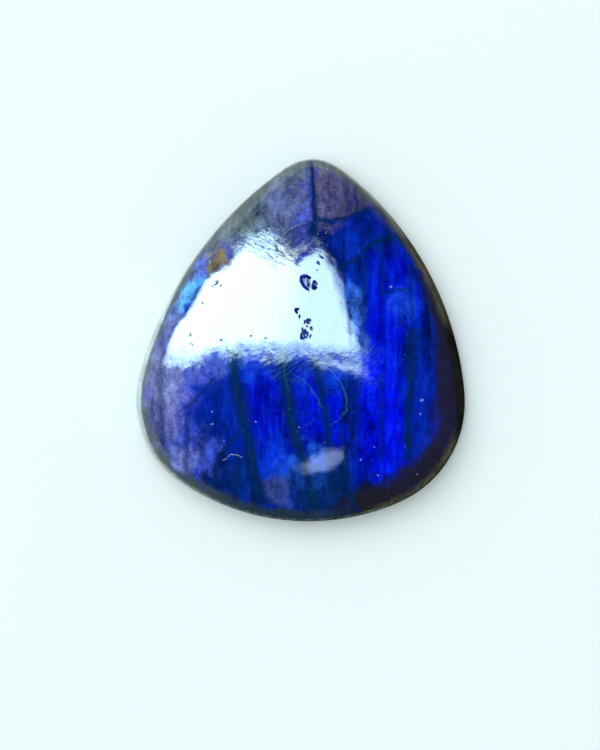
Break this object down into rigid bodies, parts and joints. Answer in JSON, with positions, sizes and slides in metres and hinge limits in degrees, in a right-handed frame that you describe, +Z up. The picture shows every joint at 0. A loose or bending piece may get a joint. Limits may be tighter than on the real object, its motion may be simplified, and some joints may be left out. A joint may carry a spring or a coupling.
{
  "type": "polished labradorite cabochon",
  "caption": "Polished labradorite stone about 42 mm long: rounded triangular outline, glossy domed face with a blue flash, and a flat back that it rests on.",
  "frame": {"origin": "middle of the bounding box of the flat back, on the surface that the stone rests on", "axes": "+Z up out of the dome, +Y towards the narrow tip, +X to the right when the dome is seen with its tip up"},
  "size_m": [0.038, 0.0418, 0.0105],
  "materials": {
    "polished_labradorite": "polished"
  },
  "bodies": {
    "root": {"labradorite_stone": "polished_labradorite"}
  },
  "joints": []
}
